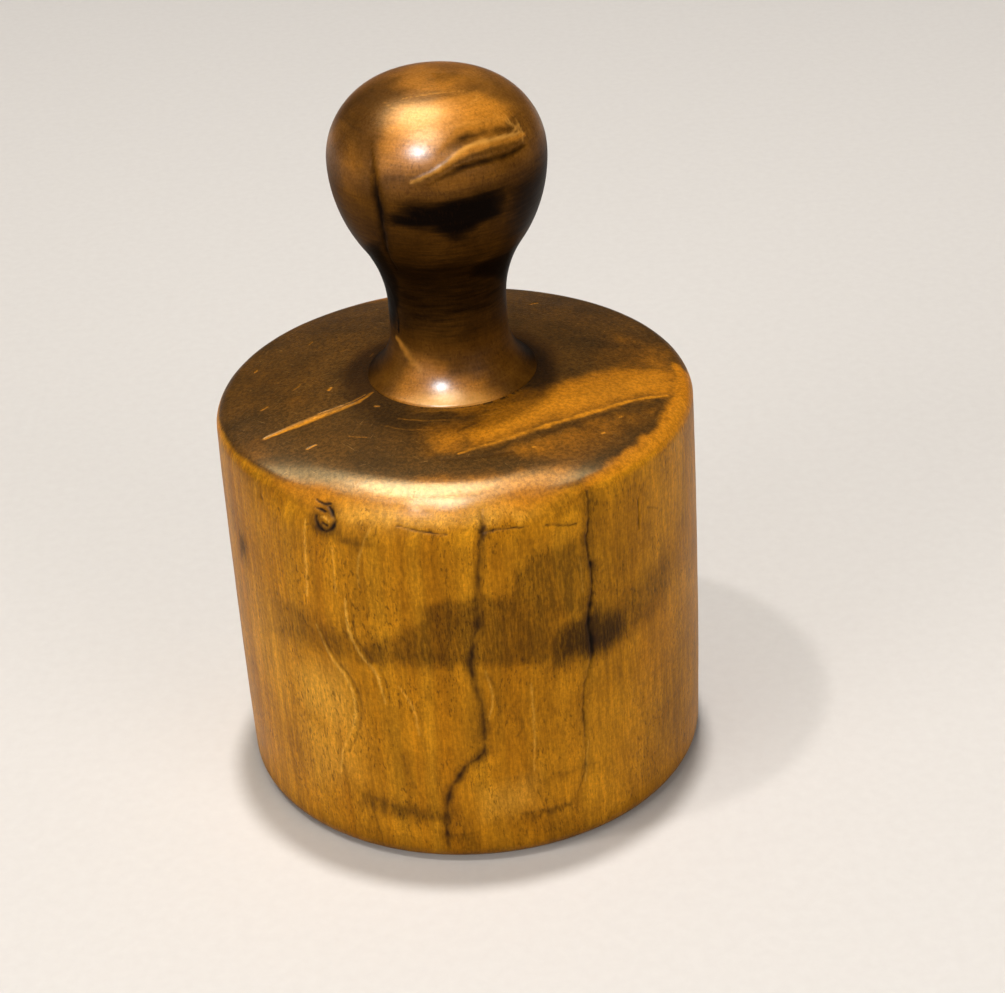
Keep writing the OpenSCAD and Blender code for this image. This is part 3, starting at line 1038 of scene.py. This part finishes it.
def makeBlock():
    s = blockSettings
    mesh = turnedMesh("turnedBlock", blockProfile, columns(blockRadius, s["frontStep"], s["backStep"]))
    refine(mesh, blockMarks, reach=0.7, cuts=2)
    places = vertexPlaces(mesh)
    rubbed = wearRim(places)
    mesh.vertices.foreach_set("co", (rubbed * mm).ravel())
    mesh.update()
    normals = vertexNormals(mesh)
    (angle, radius), height = roundAxis(places), places[:, 2]
    across, degrees = angle * blockRadius, np.degrees(angle)
    fields = blankFields(places, "crack", "halo", "bare", "pale", "wear", "stain")
    lift = markSurface(places, blockMarks, fields)
    lift += waver(places, 34.0, s["wander"]) + waver(places, 8.0, s["wander"] / 4)

    # stains run with the grain, wear and painted light on the top spread evenly
    high = height > s["topFrom"]
    run = waver(places, (1.3, 1.3, 12.0), 1.6) + waver(places, 12.0, 1.0)
    spread = [waver(places + shift, 3.0, 1.2) for shift in (20, 70)]
    isSide = (radius > s["outerFrom"]) & (height < s["sideTo"])
    isTop = climb(normals[:, 2], 0.35, 0.3) * high * (radius > s["seatRadius"])
    paintPatches(across + waver(places, 6.0, 1.6), height + run, sidePatches, fields, isSide)
    paintPatches(places[:, 0] + spread[0], places[:, 1] + spread[1], topPatches, fields, isTop)

    # tilt is 0 on the side and 1 on the flat
    tilt = normals[:, 2] + waver(places, 3.0, 0.04) + waver(places, 12.0, 0.06)
    front = fade(np.abs(degrees - s["rubbedMiddle"]) - s["rubbedHalf"], s["rubbedFade"])
    fields["patina"] = climb(tilt - 0.25, 0.33 * front, 0.5 - 0.2 * front) * high
    rubbedEdge = fade(np.abs(tilt - 0.3), 0.3) * (height > 90) * (radius > s["outerFrom"])
    paint(fields, "wear", s["edgeWear"] * rubbedEdge * (1 - 0.7 * front))
    # painted shade, darkening the side towards the base
    paint(fields, "halo", s["baseShade"] * fade(height, s["baseReach"]) * (radius > 45))
    # painted shadow of the knob on the dome, on each side of the handle's foot
    beside = climb(np.abs(degrees), 45, 25) * (height > 95)
    ring = fade(radius - s["footRing"] + waver(places, 6.0, 1.5), s["footReach"])
    paint(fields, "halo", s["footShade"] * beside * ring)
    toFront = front * climb(radius, 41, 9)
    waxed = climb(tilt, 0.69, 0.12) * (s["waxElsewhere"] + s["wax"] * toFront)
    fields["polish"] = waxed * high + 0.02
    fields["along"] = np.where(height > 95, blockRadius - radius + 95, height)
    shown = climb(radius - s["seatRadius"], 0.5, 3) * (height > 1)
    places = rubbed + normals * (lift * shown)[:, None]
    finishPiece("turnedBlock", mesh, places, fields, "block", blockWood)


# Handle: flared foot, waist, neck and knob, with the sawn tenon below

handleSettings = {
    "footRadius": 19.5,
    "footEdge": 0.3,
    "flareRadius": 14.0,
    "stemRadius": 13.4,
    "waistLength": 5.5,
    "neckRadius": 29.0,
    "bellyRadius": 33.5,
    "sideRadius": 18.0,
    "crownRadius": 41.0,
    "tenonRadius": 10.0,
    "tenonEndRadius": 11.2,
    "kerfTop": 92.0,
    "kerfTopHalf": 0.8,
    "kerfEndHalf": 2.0,
    "wander": 0.1,           # how far the worn surface strays from a true turning
    "crownWearAndSheen": 0.35,       # worn wood and painted sheen over the top of the knob
    "crownFrom": 78.0,       # mm up along the profile
    "wax": 0.72,             # on the knob
    "waxFrom": 55.0,
    "dull": 0.55,            # how much of it the torn side has lost
    "dullMiddle": 45.0,      # degrees from the front
    "rubbedMiddle": -6.0,    # polished front of the foot
    "rubbedHalf": 30.0,
    "frontStep": 0.5,        # spacing of the mesh
    "backStep": 0.9,
    "rowStep": 0.45,
}
handleLow, handleHigh = (np.array(corner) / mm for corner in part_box("handle"))
knobRadius, tenonEnd = handleHigh[0], handleLow[2]


def handleRows():
    s = handleSettings
    footTop = seatHeight + s["footEdge"]
    flareX = s["stemRadius"] + s["flareRadius"]
    flare = (flareX, footTop + math.sqrt(s["flareRadius"] ** 2 - (flareX - s["footRadius"]) ** 2))
    neck = (s["stemRadius"] + s["neckRadius"], flare[1] + s["waistLength"])
    bellyX = knobRadius - s["bellyRadius"]
    knobHeight = neck[1] + math.sqrt((s["neckRadius"] + s["bellyRadius"]) ** 2 - (neck[0] - bellyX) ** 2)
    belly = (bellyX, knobHeight)
    side = (knobRadius - s["sideRadius"], knobHeight)
    crown = (0.0, knobHeight - math.sqrt((s["crownRadius"] - s["sideRadius"]) ** 2 - side[0] ** 2))
    footEdge = (s["footRadius"], footTop)
    step = s["rowStep"]
    return np.vstack((
        straight((0, tenonEnd), (s["tenonEndRadius"], tenonEnd), 4.0),
        straight((s["tenonEndRadius"], tenonEnd), (s["tenonRadius"], s["kerfTop"]), 6.0),
        straight((s["tenonRadius"], s["kerfTop"]), (s["tenonRadius"], seatHeight), 4.0),
        straight((s["tenonRadius"], seatHeight), (s["footRadius"], seatHeight), 3.0),
        straight((s["footRadius"], seatHeight), footEdge, 0.3),
        arc(flare, s["flareRadius"], bearing(flare, footEdge) + 2 * math.pi, math.pi, step),
        straight((s["stemRadius"], flare[1]), (s["stemRadius"], neck[1]), step),
        arc(neck, s["neckRadius"], math.pi, bearing(neck, belly), step),
        arc(belly, s["bellyRadius"], bearing(belly, neck), 0.0, step),
        arc(side, s["sideRadius"], 0.0, bearing(crown, side), step),
        arc(crown, s["crownRadius"], bearing(crown, side), math.pi / 2, step),
        [(0, crown[1] + s["crownRadius"])],
    ))


handleProfile = handleRows()
shownRows = handleProfile[handleProfile[:, 1] > seatHeight + handleSettings["footEdge"] - 0.01]
rowTravel = np.append(0, np.cumsum(np.linalg.norm(np.diff(shownRows, axis=0), axis=1)))


def onHandle(points):
    # each point is degrees from the front, mm up along the profile from the foot, width and tone
    turn, travel, width, tone = withTone(points).T
    radius, height = (np.interp(travel, rowTravel, shownRows[:, i]) for i in (0, 1))
    return ringPath(np.radians(turn), radius, height, width, tone)


handleMarks = [
    # drying crack down the left of the knob
    mark(onHandle, 0.3, [
        (-41, 68, 0.6, 0.3), (-37, 64.5, 0.8, 0.5), (-34.5, 61, 0.9, 0.7), (-33, 57, 1.1), (-32, 53, 1.2),
        (-33, 49, 1.2), (-34, 45, 1), (-36, 40, 0.8, 0.7), (-37, 33, 0.5, 0.4)
    ], crack=0.95, around=(0.85, 1.8)),
    # torn ridge across the front of the knob, with a hollow above and below it; the hollow below is painted
    # dark as shade
    mark(onHandle, -0.14, [
        (-14, 60.6, 1, 0.4), (-4, 61.8, 1.8, 0.6), (4, 63.4, 2.6, 0.8), (12, 65.4, 3.2), (22, 66.2, 3.4),
        (34, 66, 3.2), (46, 65.4, 2.8), (58, 65, 1.4)
    ], wear=0.85, bare=0.06),
    mark(onHandle, 0.2, [
        (-6, 59.6, 0.8, 0.3), (6, 61.6, 1.8, 0.7), (16, 62.8, 2.4), (30, 62.9, 2.4), (42, 62.7, 2.2),
        (55, 63, 1.2, 0.5)
    ], halo=0.95, crack=0.3),
    mark(onHandle, -0.06, [
        (12, 71, 1.2), (24, 71.6, 1.8), (36, 71.2, 1.6), (48, 70.2, 1)
    ], wear=0.9, bare=0.1),
    # orange streak on the left of the flare: a painted reflection
    mark(onHandle, -0.03, [
        (-64, 13.4, 2), (-54, 12.4, 3.2), (-42, 10.2, 3.6), (-30, 8, 2)
    ], wear=1, bare=0.3),
]
# painted shade in the hollow above the ridge, and a dark streak down the neck
handleMarks += plainMarks(onHandle, "soot", [
    (0.1, 0.5, (2, 66, 2, 0.4), (14, 68.4, 4.2), (28, 69, 4.6), (40, 68.4, 3.6), (50, 67.4, 1.6)),
    (-0.03, 1, (-60, 27, 1.6), (-58, 22, 2.4), (-57, 18, 2.8), (-58, 15.5, 1.6)),
])
# fibres of the torn ridge, and light scratches
handleMarks += plainMarks(onHandle, "bare", [
    (-0.06, 0.45, (45, 72, 0.5), (51, 68.6, 0.9), (57, 65.4, 0.6)),
    (-0.05, 0.4, (52, 70.6, 0.5), (53, 68, 0.7), (58, 66.4, 0.5)),
    (-0.06, 0.45, (-14, 60.2, 1.2), (-9, 61, 1.6)),
    (-0.08, 0.62, (-14, 60.4, 0.8, 0.8), (-4, 62, 1), (6, 64.2, 1.3), (18, 66.6, 1.6), (32, 66.9, 1.6),
     (46, 66.3, 1.4), (57, 65.6, 0.8)),
    (-0.06, 0.55, (49, 66.4, 0.6), (58, 67.4, 0.8)),
    (-0.06, 0.45, (54, 64, 0.6), (57, 66.6, 0.8), (57.4, 69, 0.5)),
    (0.03, 0.3, (-34, 79, 0.4), (-14, 81, 0.6), (14, 81.6, 0.6), (40, 80, 0.4)),
    (0.03, 0.25, (-50, 77.4, 0.4), (-36, 76.4, 0.6), (-20, 76.8, 0.4)),
    (0.03, 0.3, (30, 76, 0.4), (42, 77, 0.6), (52, 79, 0.4)),
    (0.06, 0.35, (150, 66, 0.5), (160, 68, 0.8), (168, 69, 0.5)),
])
# shade between the fibres
handleMarks += plainMarks(onHandle, "halo", [
    (0.06, 0.4, (8, 63.6, 1.2, 0.6), (20, 64.8, 2.4), (36, 64.8, 2.4), (50, 64.4, 1.2)),
    (0.06, 0.5, (-6, 61.2, 0.6), (4, 62.7, 0.8), (14, 64.3, 0.6)),
])

# corners are degrees from the front and mm up along the profile
handlePatches = {"soot": [
    # painted dark reflection and shade in a band under the knob's widest part, with some soot
    (1, 6, 3, (-24, 56), (-10, 56.4), (0, 56.2), (10, 57), (20, 57.6), (36, 56.8), (40, 50), (24, 48),
     (15, 45.6), (8, 44.6), (0, 45.6), (-6, 48), (-15, 48.6), (-33, 49), (-33, 53), (-22, 53.6)),
    (1, 4, 2, (-22, 54.6), (0, 55.2), (20, 56.4), (33, 55.6), (35, 51), (22, 49), (12, 47.2), (4, 47.2),
     (-6, 49.4), (-22, 50.2)),
    # painted shade on the flanks and back of the flare
    (0.9, 14, 7, (84, -6), (84, 20), (160, 20), (160, -6)),
    (0.9, 14, 7, (-78, -6), (-78, 20), (-160, 20), (-160, -6)),
    # painted shade under the knob on the right and round the neck
    (0.85, 12, 6, (28, 57), (60, 59), (130, 62), (130, 38), (50, 38), (28, 40)),
    (1, 14, 4, (0, 38.4), (25, 38), (60, 39), (150, 42), (150, 20), (60, 23), (30, 28), (0, 31)),
    # painted shade and dark reflection under the knob on the left and down the neck, partly darkened wood
    (1, 5.5, 6, (-34, 47.5), (-40, 46), (-50, 44), (-65, 41), (-150, 41), (-150, 13), (-62, 14), (-46, 22),
     (-36, 30)),
    (0.6, 9, 5, (-100, 65), (-52, 67), (-40, 75), (-30, 84), (-100, 86)),
    (0.35, 6, 2.5, (-28, 54), (60, 57), (60, 61.4), (0, 59), (-28, 58)),
], "wear": [
    # worn wood on the front of the knob, lightened further as a painted highlight glow
    (0.8, 5, 3, (-37, 66), (-30, 77), (10, 79), (50, 78), (60, 71), (46, 68), (12, 67.5), (-8, 62.4),
     (-33, 61)),
    (0.45, 5, 3.5, (-61, 56), (-46, 55), (-44, 64), (-58, 66)),
    (0.3, 5, 2.5, (-30, 57), (40, 58), (56, 62), (0, 61), (-30, 61)),
    # rubbed wood round the front of the foot, lightened as a painted highlight
    (0.9, 6, 2.5, (-50, -2), (34, -2), (28, 6), (-44, 7)),
    (0.4, 8, 4, (120, 62), (172, 63), (172, 74), (124, 73)),
    # painted highlight beside the glint on the front of the flare
    (0.75, 5, 2.5, (-46, 4), (-2, 5), (-6, 10), (-40, 11)),
], "bare": [
    # painted highlight: a pale band along the front of the foot
    (0.55, 4, 1.2, (-30, -2), (26, -2), (22, 2.6), (0, 3.6), (-26, 3)),
]}

# mm up along the profile, and how dark the handle is painted there: soot, and painted shade under the knob
# and down the neck
handleSootAndShade = [(0, 0.1), (7, 0.15), (11, 0.35), (17, 0.6), (22, 0.77), (36, 0.84), (41, 0.62), (50, 0.56),
              (56, 0.45), (60, 0.3), (63, 0.1), (66, 0)]


def cutKerf(mesh):
    # saws the slot that the wedge stands in
    s = handleSettings
    slope = (s["kerfEndHalf"] - s["kerfTopHalf"]) / (s["kerfTop"] - tenonEnd)
    ends = ((tenonEnd - 1, s["kerfEndHalf"] + slope), (s["kerfTop"], s["kerfTopHalf"]))
    half = s["tenonEndRadius"] + 1
    corners = [(x, y * width, z) for x in (-half, half) for z, width in ends for y in (-1, 1)]
    saw = bpy.data.meshes.new("saw")
    saw.from_pydata((np.array(corners) * mm).tolist(), [],
                    [(0, 1, 3, 2), (4, 6, 7, 5), (0, 4, 5, 1), (2, 3, 7, 6), (0, 2, 6, 4), (1, 5, 7, 3)])
    blade = bpy.data.objects.new("saw", saw)
    turned = bpy.data.objects.new("uncut", mesh)
    for piece in (blade, turned):
        scene.collection.objects.link(piece)
    cut = turned.modifiers.new("kerf", "BOOLEAN")
    cut.object = blade
    cut.solver = "EXACT"
    sawn = bpy.data.meshes.new_from_object(turned.evaluated_get(bpy.context.evaluated_depsgraph_get()))
    for piece in (blade, turned):
        bpy.data.objects.remove(piece)
    sawn.name = "turnedHandle"
    return sawn


def makeHandle():
    s = handleSettings
    angles = columns(knobRadius, s["frontStep"], s["backStep"])
    mesh = cutKerf(turnedMesh("uncutHandle", handleProfile, angles))
    places, normals = vertexPlaces(mesh), vertexNormals(mesh)
    height = places[:, 2]
    travel = np.interp(height, shownRows[:, 1], rowTravel)
    degrees = np.degrees(roundAxis(places)[0])
    fields = blankFields(places, "crack", "halo", "bare", "wear", "soot")
    lift = markSurface(places, handleMarks, fields) + waver(places, 22.0, s["wander"])
    lift *= climb(height - seatHeight, 1, 4)

    # patches are laid out in mm round the widest part of the knob
    perDegree = math.radians(knobRadius)
    u = degrees * perDegree + waver(places, 3.0, 1.0)
    v = travel + waver(places + 40, (5, 5, 1.2), 0.9)
    paintPatches(u, v, handlePatches, fields, unit=perDegree)
    # painted shade under the knob and down the neck, with some soot
    sootAndShadeAlong = np.interp(travel + waver(places, (9, 9, 5), 2.5), *np.transpose(handleSootAndShade))
    paint(fields, "soot", sootAndShadeAlong)
    # painted sheen with some wear over the top of the knob
    paint(fields, "wear", s["crownWearAndSheen"] * climb(travel, s["crownFrom"], 6))
    kept = 1 - s["dull"] * fade(np.abs(degrees - s["dullMiddle"]) - 20, 30)
    rubbed = fade(travel - 4, 10) * fade(np.abs(degrees - s["rubbedMiddle"]) - s["rubbedHalf"], 30)
    fields["polish"] = np.maximum(s["wax"] * climb(travel, s["waxFrom"], 8) * kept, rubbed)
    fields["along"] = travel
    places = places + normals * lift[:, None]
    finishPiece("turnedHandle", mesh, places, fields, "handle", handleWood)


def finishWedge():
    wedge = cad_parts["tenon_wedge"]
    wedge.data.materials.clear()
    wedge.data.materials.append(wedgeWood)


makeBlock()
makeHandle()
finishWedge()
